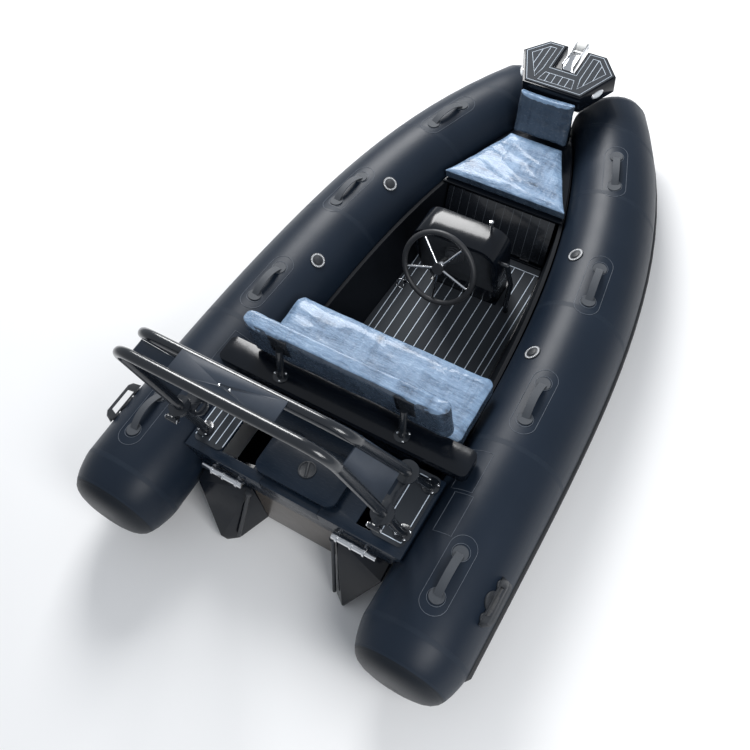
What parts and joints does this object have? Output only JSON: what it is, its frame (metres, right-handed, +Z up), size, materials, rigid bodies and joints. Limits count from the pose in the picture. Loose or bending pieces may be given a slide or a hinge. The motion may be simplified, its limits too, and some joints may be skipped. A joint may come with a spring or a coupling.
{
  "type": "rigid inflatable boat",
  "caption": "Small rigid inflatable tender with a fibreglass hull, inflated side tubes, steering console, padded seats, folding stern arch and a bow step with roller.",
  "frame": {"origin": "on the centreline, at the waterline, halfway along the boat", "axes": "+X to starboard, +Y forward, +Z up"},
  "size_m": [1.949, 3.333, 1.626],
  "materials": {
    "gelcoat": "black moulded glass fibre, polished",
    "deck_gelcoat": "black moulded glass fibre, satin",
    "pvc": "black coated boat fabric, inflated",
    "rubber_trim": "ribbed black rubber",
    "webbing": "black webbing",
    "foam_deck": "black foam decking with white grooves",
    "vinyl": "pale vinyl still under its clear film",
    "powder_coat": "black powder coat on aluminium tube",
    "arch_plate": "dark grey coated sheet",
    "stainless": "polished stainless steel",
    "black_plastic": "black moulded plastic",
    "white_plastic": "white moulded roller"
  },
  "bodies": {
    "boat": {"boat_hull": "gelcoat", "transom": "gelcoat", "port_liner": "gelcoat", "starboard_liner": "gelcoat", "sole_pad": "foam_deck", "port_tube": "pvc", "starboard_tube": "pvc", "port_rub_strake": "rubber_trim", "starboard_rub_strake": "rubber_trim", "air_valves": "black_plastic", "port_strap_handles": "webbing", "starboard_strap_handles": "webbing", "carry_handles": "black_plastic", "stern_deck": "deck_gelcoat", "transom_cap": "deck_gelcoat", "deck_pads": "foam_deck", "stern_struts": "black_plastic", "ladders": "stainless", "arch_feet": "powder_coat", "arch_pins": "stainless", "bench_base": "gelcoat", "seat_beam": "gelcoat", "bench_cushion": "vinyl", "backrest_posts": "powder_coat", "backrest_cushion": "vinyl", "console": "gelcoat", "dash": "black_plastic", "helm_base": "black_plastic", "grab_rail": "powder_coat", "light_post": "stainless", "bow_locker": "gelcoat", "bow_seat_cushion": "vinyl", "bow_back_cushion": "vinyl", "bow_step": "gelcoat", "bow_step_pad": "foam_deck", "roller_bracket": "stainless"},
    "arch": {"arch_frame": "powder_coat", "arch_plates": "arch_plate"},
    "hatch": {"hatch_lid": "deck_gelcoat", "hatch_latch": "black_plastic"},
    "door": {"locker_door": "gelcoat"},
    "wheel": {"steering_wheel": "black_plastic", "wheel_knob": "stainless"},
    "roller": {"bow_roller": "white_plastic"}
  },
  "joints": [
    {"name": "arch_fold", "type": "hinge", "parent": "boat", "child": "arch", "pos_m": [0, -1.2842, 0.78435], "axis": [1, 0, 0], "range_deg": [0, 85]},
    {"name": "hatch_hinge", "type": "hinge", "parent": "boat", "child": "hatch", "pos_m": [0, -0.987, 0.467], "axis": [-1, 0, 0], "range_deg": [0, 85]},
    {"name": "locker_door_hinge", "type": "hinge", "parent": "boat", "child": "door", "pos_m": [0, 0.593, 0.052], "axis": [1, 0, 0], "range_deg": [0, 62]},
    {"name": "steering", "type": "hinge", "parent": "boat", "child": "wheel", "pos_m": [0, 0.04, 0.505], "axis": [0, -0.9063, 0.4226], "range_deg": [-540, 540]},
    {"name": "bow_roller_spin", "type": "hinge", "parent": "boat", "child": "roller", "pos_m": [0, 1.639, 0.577], "axis": [1, 0, 0], "continuous": true}
  ]
}
